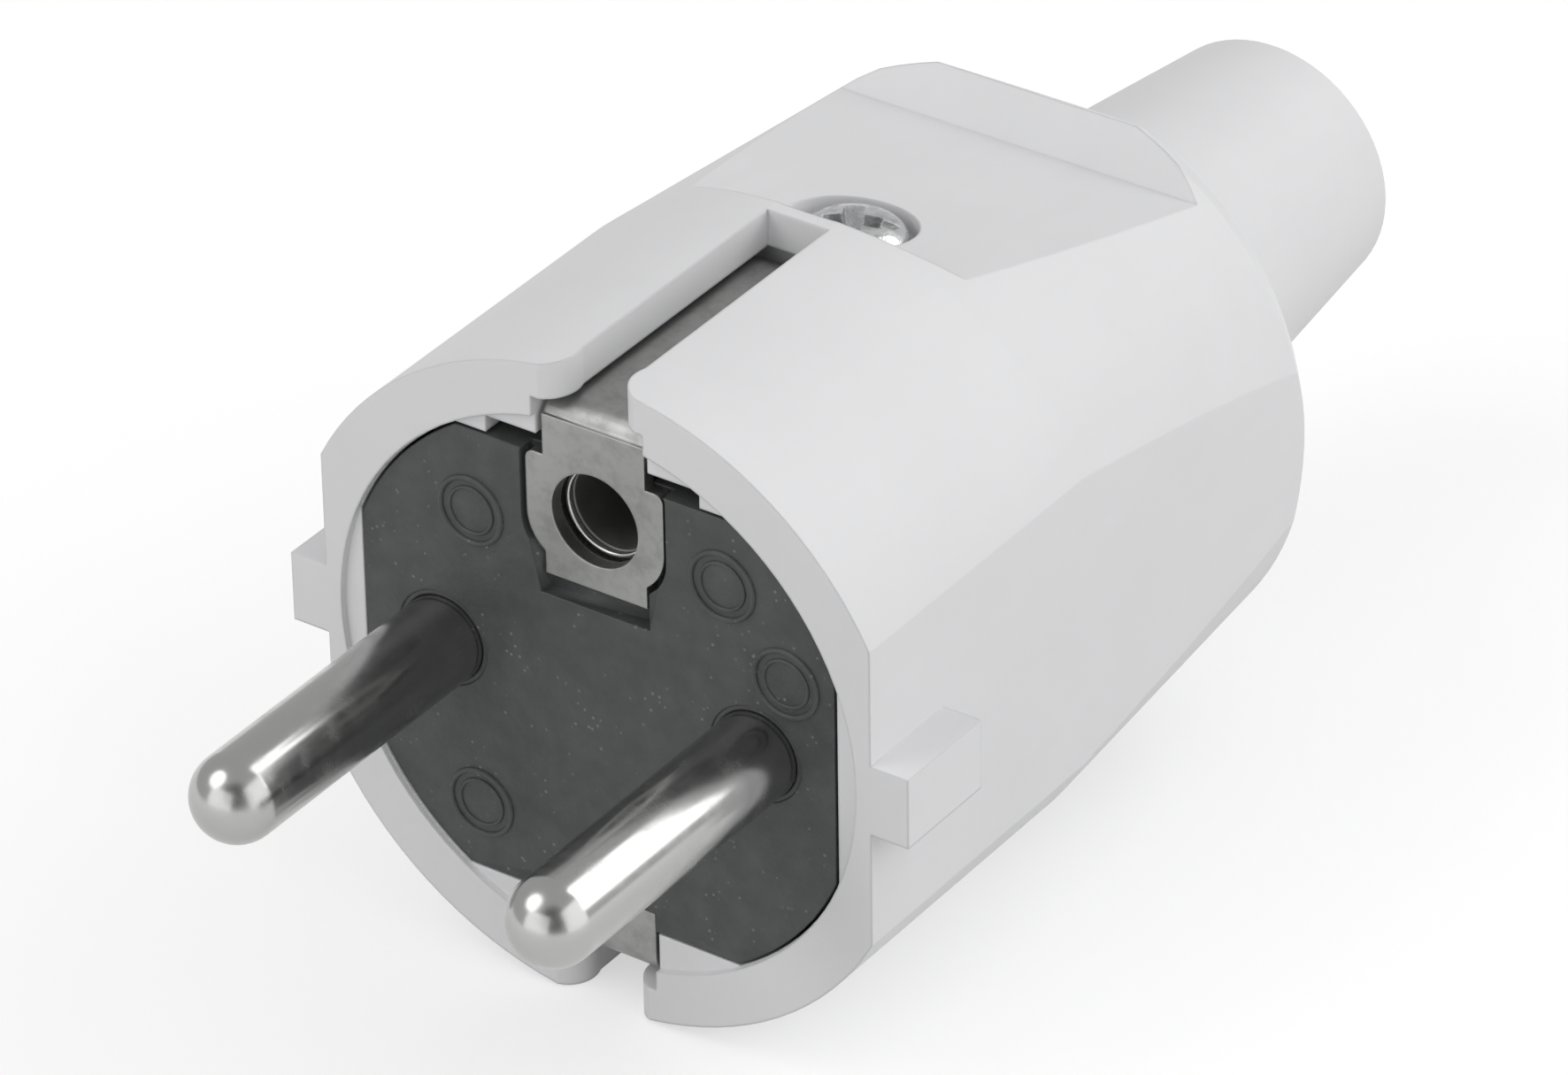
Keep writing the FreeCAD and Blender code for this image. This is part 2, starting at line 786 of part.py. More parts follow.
pieces = {
    "housing": make_housing(),
    "contact_carrier": make_contact_carrier(),
    "left_pin": make_pin(-pin_x),
    "right_pin": make_pin(pin_x),
    "earth_bracket": make_earth_bracket(),
    "earth_socket_sleeve": make_earth_socket_sleeve(),
    "earth_terminal": make_earth_terminal(),
    "left_terminal_screw": make_terminal_screw(-pin_x),
    "right_terminal_screw": make_terminal_screw(pin_x),
    "earth_terminal_screw": make_earth_terminal_screw(),
    "cord_clamp_saddle": make_cord_clamp_saddle(),
    "left_clamp_screw": make_clamp_screw(-clamp_screw_x),
    "right_clamp_screw": make_clamp_screw(clamp_screw_x),
    "housing_screw": make_housing_screw(),
    "housing_screw_nut": make_housing_nut(),
}

os.makedirs("parts", exist_ok=True)
for name, shape in pieces.items():
    shape.exportStep("parts/" + name + ".step")
    print(name, "solids", len(shape.Solids), "valid", shape.isValid(), "volume", round(shape.Volume, 1))
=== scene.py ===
import logging
import math
from dataclasses import dataclass, field
from enum import Enum
from typing import Any, Callable, Sequence, Union

import bmesh
import bpy
import numpy as np
from mathutils import Matrix, Vector


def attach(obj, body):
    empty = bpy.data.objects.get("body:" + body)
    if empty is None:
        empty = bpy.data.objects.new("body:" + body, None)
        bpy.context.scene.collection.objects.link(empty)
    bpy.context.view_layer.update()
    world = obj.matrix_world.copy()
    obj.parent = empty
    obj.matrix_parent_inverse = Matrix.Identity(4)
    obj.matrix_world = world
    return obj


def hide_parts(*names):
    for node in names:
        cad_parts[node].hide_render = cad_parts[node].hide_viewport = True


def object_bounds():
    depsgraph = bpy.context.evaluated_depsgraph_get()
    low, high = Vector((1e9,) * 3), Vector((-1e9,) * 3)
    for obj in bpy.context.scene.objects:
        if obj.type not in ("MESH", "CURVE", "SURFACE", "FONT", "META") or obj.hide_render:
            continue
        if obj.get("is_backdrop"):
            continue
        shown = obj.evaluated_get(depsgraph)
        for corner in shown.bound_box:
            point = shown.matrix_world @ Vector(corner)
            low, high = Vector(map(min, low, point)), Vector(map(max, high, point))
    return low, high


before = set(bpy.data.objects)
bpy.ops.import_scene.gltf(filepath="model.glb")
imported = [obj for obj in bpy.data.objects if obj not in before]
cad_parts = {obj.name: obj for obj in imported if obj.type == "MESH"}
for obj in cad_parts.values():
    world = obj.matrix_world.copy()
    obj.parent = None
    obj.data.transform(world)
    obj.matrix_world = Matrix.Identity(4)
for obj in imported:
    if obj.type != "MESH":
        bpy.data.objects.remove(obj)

# Straight earthed mains plug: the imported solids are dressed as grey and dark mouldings,
# plated pins, a stamped earth strip and small screws. Sizes in the classes are
# millimetres; meshes are metres in the same frame as the solids. A point closer than NEAR
# millimetres to a plane counts as on it, and points within MERGE metres are one.

MM = 0.001
NEAR = 0.01
MERGE = 1e-7
ROOT = "root"

log = logging.getLogger("plug")

Colour = tuple[float, float, float]
SocketValue = Union[float, int, Sequence[float], "Signal", bpy.types.NodeSocket]


class Slot(str, Enum):
    """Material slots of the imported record."""

    HOUSING = "housing_plastic"
    CARRIER = "carrier_plastic"
    PIN = "nickel_plated_brass"
    STRIP = "nickel_plated_strip"
    BRASS = "plain_brass"
    ZINC = "zinc_plated_steel"


class LampShape(str, Enum):
    """Outlines that a softbox can have."""

    RECTANGLE = "RECTANGLE"
    ELLIPSE = "ELLIPSE"


# Shader maths


@dataclass
class Signal:
    """A shader socket with arithmetic: each operator adds the Math node it needs."""

    book: "NodeBook"
    socket: bpy.types.NodeSocket

    def _math(self, operation: str, *operands: SocketValue, clamp: bool = False) -> "Signal":
        """Adds a Math node.

        Args:
            operation: what it does.
            operands: its inputs, in order.
            clamp: whether its result stays between 0 and 1.

        Returns:
            Its result.
        """
        inputs = {index: value for index, value in enumerate(operands)}
        settings = {"operation": operation, "use_clamp": clamp}
        return self.book.signal("ShaderNodeMath", settings, inputs, 0)

    def __add__(self, other: SocketValue) -> "Signal":
        """Sum."""
        return self._math("ADD", self, other)

    __radd__ = __add__

    def __sub__(self, other: SocketValue) -> "Signal":
        """Difference."""
        return self._math("SUBTRACT", self, other)

    def __rsub__(self, other: SocketValue) -> "Signal":
        """Difference taken from a number."""
        return self._math("SUBTRACT", other, self)

    def __mul__(self, other: SocketValue) -> "Signal":
        """Product."""
        return self._math("MULTIPLY", self, other)

    __rmul__ = __mul__

    def clamped(self) -> "Signal":
        """The signal kept between 0 and 1."""
        return self._math("ADD", self, 0.0, clamp=True)

    def largest(self, other: SocketValue) -> "Signal":
        """The larger of two signals."""
        return self._math("MAXIMUM", self, other)

    def above(self, low: float, high: float) -> "Signal":
        """Smooth step from 0 at the low value to 1 at the high value.

        Args:
            low: value at which the step starts.
            high: value at which it is complete.

        Returns:
            The step, between 0 and 1.
        """
        settings = {"interpolation_type": "SMOOTHSTEP", "clamp": True}
        inputs = {"Value": self, "From Min": low, "From Max": high}
        return self.book.signal("ShaderNodeMapRange", settings, inputs, "Result")


class NodeBook:
    """Node tree of one material or of the world, with one method that adds nodes."""

    speck_core: float = 0.6

    def __init__(self, owner: Any) -> None:
        """Empties the owner's tree.

        Args:
            owner: a material or a world.
        """
        owner.use_nodes = True
        self.tree = owner.node_tree
        self.tree.nodes.clear()

    def node(
        self,
        kind: str,
        settings: dict[str, Any] | None = None,
        inputs: dict[int | str, SocketValue] | None = None,
    ) -> bpy.types.Node:
        """Adds a node.

        Args:
            kind: the node's type.
            settings: its properties, set before its sockets.
            inputs: values or links of its sockets, by name or number.

        Returns:
            The new node.
        """
        made = self.tree.nodes.new(kind)
        for name, value in (settings or {}).items():
            setattr(made, name, value)
        for key, value in (inputs or {}).items():
            target = made.inputs[key]
            if isinstance(value, Signal):
                self.tree.links.new(value.socket, target)
            elif isinstance(value, bpy.types.NodeSocket):
                self.tree.links.new(value, target)
            else:
                target.default_value = value
        return made

    def signal(
        self,
        kind: str,
        settings: dict[str, Any] | None = None,
        inputs: dict[int | str, SocketValue] | None = None,
        output: int | str = 0,
    ) -> Signal:
        """Adds a node and wraps one of its outputs.

        Args:
            kind: the node's type.
            settings: its properties.
            inputs: values or links of its sockets.
            output: which output is wanted.

        Returns:
            The output as a signal.
        """
        return Signal(self, self.node(kind, settings, inputs).outputs[output])

    def place(self) -> Signal:
        """Object coordinates, in metres."""
        return self.signal("ShaderNodeTexCoord", output="Object")

    def split(self, vector: Signal) -> tuple[Signal, Signal, Signal]:
        """The three parts of a vector."""
        parts = self.node("ShaderNodeSeparateXYZ", None, {0: vector})
        return tuple(Signal(self, parts.outputs[index]) for index in range(3))

    def stretched(self, vector: Signal, scale: Sequence[float]) -> Signal:
        """A vector with each of its parts scaled."""
        settings = {"operation": "MULTIPLY"}
        return self.signal("ShaderNodeVectorMath", settings, {0: vector, 1: tuple(scale)}, "Vector")

    def along(self, vector: Signal, direction: Sequence[float]) -> Signal:
        """How far a vector points along a direction: 1 where it is the direction itself."""
        return self.dot(vector, tuple(Vector(direction).normalized()))

    def dot(self, vector: Signal, other: SocketValue) -> Signal:
        """Dot product of two vectors."""
        settings = {"operation": "DOT_PRODUCT"}
        return self.signal("ShaderNodeVectorMath", settings, {0: vector, 1: other}, "Value")

    def rays(self) -> tuple[Signal, Signal]:
        """Kinds of rays that see a surface.

        Returns:
            1 for rays from the camera, and 1 for rays by reflection or through glass.
        """
        path = self.node("ShaderNodeLightPath")
        camera = Signal(self, path.outputs["Is Camera Ray"])
        glossy = Signal(self, path.outputs["Is Glossy Ray"])
        return camera, glossy.largest(path.outputs["Is Transmission Ray"])

    def noise(
        self, vector: Signal, size_mm: float, detail: float = 2.0, rough: float = 0.5
    ) -> Signal:
        """Noise between 0 and 1.

        Args:
            vector: the place it is read at.
            size_mm: size of its largest grains.
            detail: number of finer layers.
            rough: how strong the finer layers are.

        Returns:
            The noise.
        """
        scale = 1 / (size_mm * MM)
        inputs = {"Vector": vector, "Scale": scale, "Detail": detail, "Roughness": rough}
        return self.signal("ShaderNodeTexNoise", None, inputs, "Fac")

    def specks(self, vector: Signal, size_mm: float, share: float) -> Signal:
        """Scattered round specks, 1 inside a speck and 0 outside.

        Args:
            vector: the place it is read at.
            size_mm: distance from speck to speck.
            share: radius of a speck as a share of that distance.

        Returns:
            The specks.
        """
        inputs = {"Vector": vector, "Scale": 1 / (size_mm * MM)}
        distance = self.signal("ShaderNodeTexVoronoi", None, inputs, "Distance")
        full = share * self.speck_core
        return 1 - distance.above(full, share)

    def mixed(self, factor: SocketValue, low: SocketValue, high: SocketValue) -> Signal:
        """Colour mixed from two others.

        Args:
            factor: share of the second colour.
            low: first colour.
            high: second colour.

        Returns:
            The mixed colour.
        """
        settings = {"data_type": "RGBA", "blend_type": "MIX"}
        return self.signal("ShaderNodeMix", settings, {0: factor, 6: low, 7: high}, 2)

    def rounded_normal(self, radius_mm: float) -> Signal:
        """Normal that turns smoothly over sharp edges, within the radius."""
        inputs = {"Radius": radius_mm * MM}
        return self.signal("ShaderNodeBevel", {"samples": 6}, inputs, "Normal")

    def edge_mask(self, normal: Signal, strength: float) -> Signal:
        """Share by which the rounded normal leaves the true one, so 0 away from edges."""
        true = self.node("ShaderNodeNewGeometry").outputs["Normal"]
        return ((1 - self.dot(normal, true)) * strength).clamped()

    def bump(self, height: Signal, depth_mm: float, normal: Signal | None = None) -> Signal:
        """Normal with the height's relief.

        Args:
            height: relief between 0 and 1.
            depth_mm: its full depth.
            normal: normal it is laid on, if not the mesh's own.

        Returns:
            The bumped normal.
        """
        inputs: dict[int | str, SocketValue] = {
            "Height": height, "Strength": 1.0, "Distance": depth_mm * MM,
        }
        if normal is not None:
            inputs["Normal"] = normal
        return self.signal("ShaderNodeBump", None, inputs, "Normal")

    def surface(self, inputs: dict[int | str, SocketValue]) -> None:
        """Ends a material with a Principled shader of these inputs."""
        shader = self.node("ShaderNodeBsdfPrincipled", None, inputs)
        self.node("ShaderNodeOutputMaterial", None, {"Surface": shader.outputs[0]})


# Finishes


def rgba(colour: Colour) -> tuple[float, float, float, float]:
    """A colour with full alpha."""
    return (*colour, 1.0)


def shaded(colour: Colour, factor: float) -> tuple[float, float, float, float]:
    """A colour made lighter or darker by a factor, with full alpha."""
    return (colour[0] * factor, colour[1] * factor, colour[2] * factor, 1.0)


@dataclass(frozen=True)
class MouldedPlastic:
    """Injection-moulded thermoplastic with a fine eroded grain and handling marks."""

    name: str
    slot: Slot
    colour: Colour
    roughness: float
    edge_radius: float = 0.22
    grain_size: float = 0.16
    grain_depth: float = 0.0045
    cloud_size: float = 7.0
    cloud: float = 0.035
    edge_tone: float = 1.04
    speck_size: float = 0.9
    speck_tone: float = 1.0
    speck_share: float = 0.16
    soft_grain_times: float = 9
    flow_scale: tuple[float, float, float] = (1.0, 0.18, 1.0)
    flow_size: float = 1.6
    rub_size: float = 2.6

    def material(self) -> bpy.types.Material:
        """Builds the material.

        Returns:
            A material with clouding, grain, faint flow lines and rubbed edges.
        """
        made = bpy.data.materials.new(self.name)
        book = NodeBook(made)
        place = book.place()
        cloud = book.noise(place, self.cloud_size, detail=3.0, rough=0.55)
        flow = book.noise(book.stretched(place, self.flow_scale), self.flow_size)
        grain = book.noise(place, self.grain_size, rough=0.6)
        soft = book.noise(place, self.grain_size * self.soft_grain_times)
        rubbed = book.noise(place, self.rub_size, detail=4.0, rough=0.65).above(0.52, 0.7)
        normal = book.rounded_normal(self.edge_radius)
        edge = book.edge_mask(normal, strength=3.0)
        specks = book.specks(place, self.speck_size, self.speck_share) * soft.above(0.5, 0.66)
        dark, light = shaded(self.colour, 1 - self.cloud), shaded(self.colour, 1 + self.cloud)
        tone = book.mixed(cloud, dark, light)
        streak = shaded(self.colour, 1 - self.cloud * 0.8)
        tone = book.mixed(flow.above(0.45, 0.8) * 0.35, tone, streak)
        tone = book.mixed(specks, tone, shaded(self.colour, self.speck_tone))
        tone = book.mixed(edge * (0.35 + rubbed * 0.65), tone, shaded(self.colour, self.edge_tone))
        roughness = (self.roughness - 0.05) + cloud * 0.06 + grain * 0.05 - edge * 0.08
        relief = book.bump(grain * 0.8 + soft * 0.6, self.grain_depth, normal)
        book.surface({"Base Color": tone, "Roughness": roughness, "Normal": relief, "IOR": 1.5})
        return made


@dataclass(frozen=True)
class PlatedMetal:
    """Plated metal with drawn or turned lines, stains and mottling.

    With an unshaded band, given as its two ends along Y, the metal everywhere else is
    darker, with painted shade as deep inside a bore, and duller.
    """

    name: str
    slot: Slot
    colour: Colour
    roughness: float
    line_scale: tuple[float, float, float] = (1.0, 14.0, 1.0)
    line_size: float = 0.9
    line_depth: float = 0.0009
    edge_radius: float = 0.1
    stain: float = 0.12
    stain_size: float = 2.2
    mottle: float = 0.0
    mottle_size: float = 0.35
    mottle_tone: float = 0.55
    edge_tone: float = 1.12
    unshaded_band: tuple[float, float] | None = None
    band_blur: float = 0.06
    painted_shade_tone: float = 0.5
    deep_roughness: float = 0.35

    def material(self) -> bpy.types.Material:
        """Builds the material.

        Returns:
            A metal with fine lines, stains and uneven gloss.
        """
        made = bpy.data.materials.new(self.name)
        book = NodeBook(made)
        place = book.place()
        stretched = book.stretched(place, self.line_scale)
        lines = book.noise(stretched, self.line_size, detail=3.0, rough=0.6)
        stain = book.noise(place, self.stain_size, detail=4.0, rough=0.6).above(0.42, 0.72)
        mottle = book.noise(place, self.mottle_size, detail=3.0, rough=0.62)
        normal = book.rounded_normal(self.edge_radius)
        edge = book.edge_mask(normal, strength=2.5)
        stained = shaded(self.colour, 1 - self.stain)
        mottled = shaded(self.colour, self.mottle_tone)
        tone = book.mixed(stain * self.stain * 4, rgba(self.colour), stained)
        tone = book.mixed(mottle.above(0.4, 0.75) * self.mottle, tone, mottled)
        tone = book.mixed(edge, tone, shaded(self.colour, self.edge_tone))
        # Painted shade: outside the band the colour is darkened as shade inside a bore.
        if self.unshaded_band is not None:
            depth = book.split(place)[1]
            low, high = (edge_y * MM for edge_y in self.unshaded_band)
            blur = self.band_blur * MM
            band = depth.above(low - blur, low + blur) * (1 - depth.above(high - blur, high + blur))
            tone = book.mixed(band, shaded(self.colour, self.painted_shade_tone), tone)
        else:
            band = 1.0
        gloss = stain * 0.1 + (lines - 0.5) * 0.08 + mottle * self.mottle * 0.2
        roughness = self.roughness + gloss + (1.0 - band) * self.deep_roughness
        relief = book.bump(lines + mottle * self.mottle, self.line_depth, normal)
        inputs = {"Base Color": tone, "Metallic": 1.0, "Roughness": roughness, "Normal": relief}
        book.surface(inputs)
        return made


Finish = Union[MouldedPlastic, PlatedMetal]

HOUSING_GREY = MouldedPlastic("HousingGrey", Slot.HOUSING, (0.742, 0.742, 0.752), roughness=0.46)
CARRIER_DARK = MouldedPlastic(
    "CarrierDark", Slot.CARRIER, (0.058, 0.062, 0.060), roughness=0.5, edge_radius=0.14,
    grain_size=0.22, grain_depth=0.03, cloud_size=1.8, cloud=0.48, edge_tone=1.6,
    speck_size=0.5, speck_tone=2.6, speck_share=0.22,
)
PIN_NICKEL = PlatedMetal(
    "PinNickel", Slot.PIN, (0.48, 0.48, 0.472), roughness=0.19, line_depth=0.0004, stain=0.05,
    edge_radius=0.06,
)
STRIP_NICKEL = PlatedMetal(
    "StripNickel", Slot.STRIP, (0.38, 0.385, 0.375), roughness=0.37,
    line_scale=(14.0, 1.0, 1.0), line_depth=0.002, edge_radius=0.14, mottle=0.45,
    mottle_size=1.0,
)
# Painted shade on the sleeve: only the band at its mouth's bead keeps the full colour.
SLEEVE_NICKEL = PlatedMetal(
    "SleeveNickel", Slot.STRIP, (0.6, 0.6, 0.59), roughness=0.25, line_depth=0.0006,
    edge_radius=0.04, unshaded_band=(1.5, 1.92),
)
SCREW_ZINC = PlatedMetal(
    "ScrewZinc", Slot.ZINC, (0.74, 0.745, 0.75), roughness=0.13, line_scale=(1.0, 1.0, 1.0),
    line_size=0.5, line_depth=0.03, mottle=0.8, mottle_size=0.7,
)
TERMINAL_BRASS = PlatedMetal("TerminalBrass", Slot.BRASS, (0.70, 0.50, 0.22), roughness=0.3)


# Meshes


def ring_faces(rows: int, columns: int) -> np.ndarray:
    """Quads of a grid of points whose rows are rings.

    Each face joins point (row, column) with the next row and the next column, and the last
    column joins the first.

    Args:
        rows: number of rows.
        columns: number of points in a row.

    Returns:
        Corner numbers, four to a face.
    """
    row, column = np.meshgrid(np.arange(rows - 1), np.arange(columns), indexing="ij")
    ahead = (column + 1) % columns
    corners = [row * columns + column, (row + 1) * columns + column]
    corners += [(row + 1) * columns + ahead, row * columns + ahead]
    return np.stack(corners, axis=-1).reshape(-1, 4)


def lathe_points(profile: np.ndarray, segments: int, axis_x: float, axis_z: float) -> np.ndarray:
    """Points of a surface turned about an axis along Y.

    A profile point (y, r) at turn t goes to (axis_x + r sin t, y, axis_z + r cos t).

    Args:
        profile: (y, radius) rows, in millimetres.
        segments: number of steps round the axis.
        axis_x: where the axis stands in X.
        axis_z: where the axis stands in Z.

    Returns:
        Points in metres, row by row of the profile.
    """
    turn = np.linspace(0.0, 2 * math.pi, segments, endpoint=False)
    y = np.repeat(profile[:, :1], segments, axis=1)
    x = axis_x + profile[:, 1:] * np.sin(turn)
    z = axis_z + profile[:, 1:] * np.cos(turn)
    return np.stack([x, y, z], axis=-1).reshape(-1, 3) * MM


def mesh_object(name: str, points: np.ndarray, faces: Sequence[Sequence[int]]) -> bpy.types.Object:
    """Makes an object from points and faces, merges doubles and turns its faces outwards.

    Args:
        name: the piece's name.
        points: its vertices in metres.
        faces: corner numbers of each face.

    Returns:
        The object, linked to the scene.
    """
    mesh = bpy.data.meshes.new(name)
    mesh.from_pydata(points.tolist(), [], [list(face) for face in faces])
    work = bmesh.new()
    work.from_mesh(mesh)
    bmesh.ops.remove_doubles(work, verts=work.verts, dist=MERGE)
    bmesh.ops.dissolve_degenerate(work, edges=work.edges, dist=1e-8)
    bmesh.ops.recalc_face_normals(work, faces=work.faces)
    work.to_mesh(mesh)
    work.free()
    made = bpy.data.objects.new(name, mesh)
    bpy.context.scene.collection.objects.link(made)
    return made


def smooth(piece: bpy.types.Object, sharp_deg: float) -> None:
    """Shades a piece smooth, apart from edges sharper than the angle."""
    piece.data.shade_smooth()
    piece.data.set_sharp_from_angle(angle=math.radians(sharp_deg))


def carve(piece: bpy.types.Object, tools: Sequence[bpy.types.Object]) -> None:
    """Cuts the tools out of the piece and removes them.

    Args:
        piece: closed object that keeps its name and place.
        tools: closed objects.
    """
    for tool in tools:
        cut = piece.modifiers.new("Cut", "BOOLEAN")
        cut.operation = "DIFFERENCE"
        cut.solver = "EXACT"
        cut.object = tool
    seen = piece.evaluated_get(bpy.context.evaluated_depsgraph_get())
    mesh = bpy.data.meshes.new_from_object(seen)
    piece.modifiers.clear()
    old = piece.data
    piece.data = mesh
    bpy.data.meshes.remove(old)
    mesh.name = piece.name
    for tool in tools:
        bpy.data.meshes.remove(tool.data)


@dataclass
class Dresser:
    """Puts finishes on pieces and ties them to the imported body."""

    made: dict[str, bpy.types.Material] = field(default_factory=dict)

    def material(self, finish: Finish) -> bpy.types.Material:
        """Material of a finish, built once.

        Args:
            finish: the finish.

        Returns:
            Its material.
        """
        if finish.name not in self.made:
            self.made[finish.name] = finish.material()
        return self.made[finish.name]

    def dress(self, piece: bpy.types.Object, finish: Finish, *nodes: str) -> None:
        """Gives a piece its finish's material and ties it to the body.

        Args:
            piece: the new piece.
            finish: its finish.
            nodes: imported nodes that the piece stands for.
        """
        piece.data.materials.clear()
        piece.data.materials.append(self.material(finish))
        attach(piece, ROOT)
        if nodes:
            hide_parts(*nodes)
        log.info("%s: %d faces, %s", piece.name, len(piece.data.polygons), finish.name)


@dataclass(frozen=True)
class TurnedOutline:
    """Surface turned about an axis along Y: radius as a function of y, in millimetres."""

    radius: Callable[[np.ndarray], np.ndarray]
    axis_x: float = 0.0
    axis_z: float = 0.0
    reach: float = 0.012
    facet_deg: float = 14.0
    inset: float = 0.01

    def normals(self, points: np.ndarray, y_inside: np.ndarray) -> np.ndarray:
        """Outward normals of the surface at points that lie on it.

        With r the outline's radius, the normal is the point's direction from the axis
        less r's slope along Y, made of unit length. The slope is read slightly inside
        the face, so each face beside a crease keeps its own slope.

        Args:
            points: places in millimetres, one to a row.
            y_inside: y of each place, drawn slightly towards its face's middle.

        Returns:
            Unit normals, one to a row.
        """
        away = points[:, [0, 2]] - (self.axis_x, self.axis_z)
        far = np.maximum(np.linalg.norm(away, axis=1), 1e-9)
        step = 1e-4
        slope = (self.radius(y_inside + step) - self.radius(y_inside - step)) / (2 * step)
        raw = np.column_stack([away[:, 0] / far, -slope, away[:, 1] / far])
        return raw / np.linalg.norm(raw, axis=1, keepdims=True)

    def off(self, points: np.ndarray) -> np.ndarray:
        """How far each point lies from the surface, measured square to the axis."""
        away = points[:, [0, 2]] - (self.axis_x, self.axis_z)
        return np.abs(np.linalg.norm(away, axis=1) - self.radius(points[:, 1]))


def climb(angle_deg: float) -> float:
    """Height gained over a length of one at an angle."""
    return math.tan(math.radians(angle_deg))


def shade_turned(piece: bpy.types.Object, outline: TurnedOutline, sharp_deg: float) -> None:
    """Shades a piece smooth, with exact normals on faces that lie on a turned surface.

    A face lies on it when its three corners do and its own normal is near theirs. Edges
    round such faces are sharp, and so are others that turn more than the angle.

    Args:
        piece: object of triangles.
        outline: the turned surface.
        sharp_deg: turn past which an edge is sharp.
    """
    mesh = piece.data
    count = len(mesh.polygons)
    points = np.empty(len(mesh.vertices) * 3)
    mesh.vertices.foreach_get("co", points)
    points = points.reshape(-1, 3) / MM
    corners = np.empty(count * 3, dtype=int)
    mesh.loops.foreach_get("vertex_index", corners)
    flat = np.empty(count * 3)
    mesh.polygons.foreach_get("normal", flat)
    flat = flat.reshape(-1, 3)
    face_of_corner = np.repeat(np.arange(count), 3)
    places = points[corners]
    middle_y = places[:, 1].reshape(-1, 3).mean(axis=1)[face_of_corner]
    inwards = (middle_y - places[:, 1]) * outline.inset
    exact = outline.normals(places, places[:, 1] + inwards)
    near = outline.off(places) < outline.reach
    likeness = np.einsum("ij,ij->i", exact, flat[face_of_corner])
    alike = likeness > math.cos(math.radians(outline.facet_deg))
    turned = (near & alike).reshape(-1, 3).all(axis=1)
    edges = np.empty(count * 3, dtype=int)
    mesh.loops.foreach_get("edge_index", edges)
    order = np.argsort(edges, kind="stable")
    first, second = order[:-1], order[1:]
    pair = edges[first] == edges[second]
    one, two = face_of_corner[first[pair]], face_of_corner[second[pair]]
    bend = np.einsum("ij,ij->i", flat[one], flat[two]) < math.cos(math.radians(sharp_deg))
    sharp = np.zeros(len(mesh.edges), dtype=bool)
    rim = turned[one] != turned[two]
    sharp[edges[first[pair]]] = np.where(turned[one] & turned[two], False, bend | rim)
    mesh.shade_smooth()
    mark = mesh.attributes.get("sharp_edge") or mesh.attributes.new("sharp_edge", "BOOLEAN", "EDGE")
    mark.data.foreach_set("value", sharp)
    own = np.empty(count * 9)
    mesh.corner_normals.foreach_get("vector", own)
    shown = np.where(turned[face_of_corner][:, None], exact, own.reshape(-1, 3))
    mesh.normals_split_custom_set(shown.tolist())


@dataclass
class RefinedNode:
    """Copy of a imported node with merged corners, shaded as the real surfaces curve."""

    node: str
    name: str
    sharp: float = 14.0
    outline: TurnedOutline | None = None
    reshape: Callable[[np.ndarray], np.ndarray] | None = None

    def build(self) -> bpy.types.Object:
        """Merges the node's loose triangles in a copy and shades it.

        Returns:
            The copy, linked to the scene at the origin.
        """
        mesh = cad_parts[self.node].data.copy()
        mesh.name = self.name
        work = bmesh.new()
        work.from_mesh(mesh)
        bmesh.ops.remove_doubles(work, verts=work.verts, dist=MERGE)
        work.to_mesh(mesh)
        work.free()
        if self.reshape is not None:
            points = np.empty(len(mesh.vertices) * 3)
            mesh.vertices.foreach_get("co", points)
            moved = self.reshape(points.reshape(-1, 3) / MM) * MM
            mesh.vertices.foreach_set("co", moved.ravel())
            mesh.update()
        made = bpy.data.objects.new(self.name, mesh)
        bpy.context.scene.collection.objects.link(made)
        if self.outline is None:
            smooth(made, self.sharp)
        else:
            shade_turned(made, self.outline, self.sharp)
        return made

    def dress(self, dresser: Dresser, finish: Finish) -> None:
        """Builds the copy and dresses it in place of the node."""
        dresser.dress(self.build(), finish, self.node)


# Sub-assemblies


